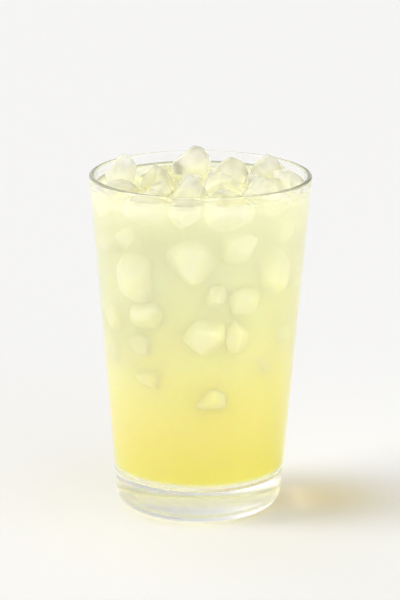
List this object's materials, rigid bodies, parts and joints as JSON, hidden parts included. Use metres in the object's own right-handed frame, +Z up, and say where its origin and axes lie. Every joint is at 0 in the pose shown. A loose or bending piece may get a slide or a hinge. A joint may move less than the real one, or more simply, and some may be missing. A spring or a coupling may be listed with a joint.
{
  "type": "glass of lemonade",
  "caption": "Tapered clear tumbler with a thick base, filled near its brim with cloudy lemonade and heaped with ice nuggets.",
  "frame": {"origin": "middle of the foot, on the surface that the glass stands on", "axes": "+Z up through the mouth, +X to the right of the picture's view, +Y away from the viewer"},
  "size_m": [0.085, 0.085, 0.1388],
  "materials": {
    "glass": "clear fire-polished soda-lime glass",
    "lemonade": "cloudy pale yellow drink, wet and smooth",
    "ice": "clear to cloudy ice, melted smooth and wet"
  },
  "bodies": {
    "root": {"glass": "glass", "lemonade": "lemonade", "ice_01": "ice", "ice_02": "ice", "ice_03": "ice", "ice_04": "ice", "ice_05": "ice", "ice_06": "ice", "ice_07": "ice", "ice_08": "ice", "ice_09": "ice", "ice_10": "ice", "ice_11": "ice", "ice_12": "ice", "ice_13": "ice", "ice_14": "ice", "ice_15": "ice", "ice_16": "ice", "ice_17": "ice", "ice_18": "ice", "ice_19": "ice", "ice_20": "ice", "ice_21": "ice", "ice_22": "ice", "ice_23": "ice"}
  },
  "joints": []
}
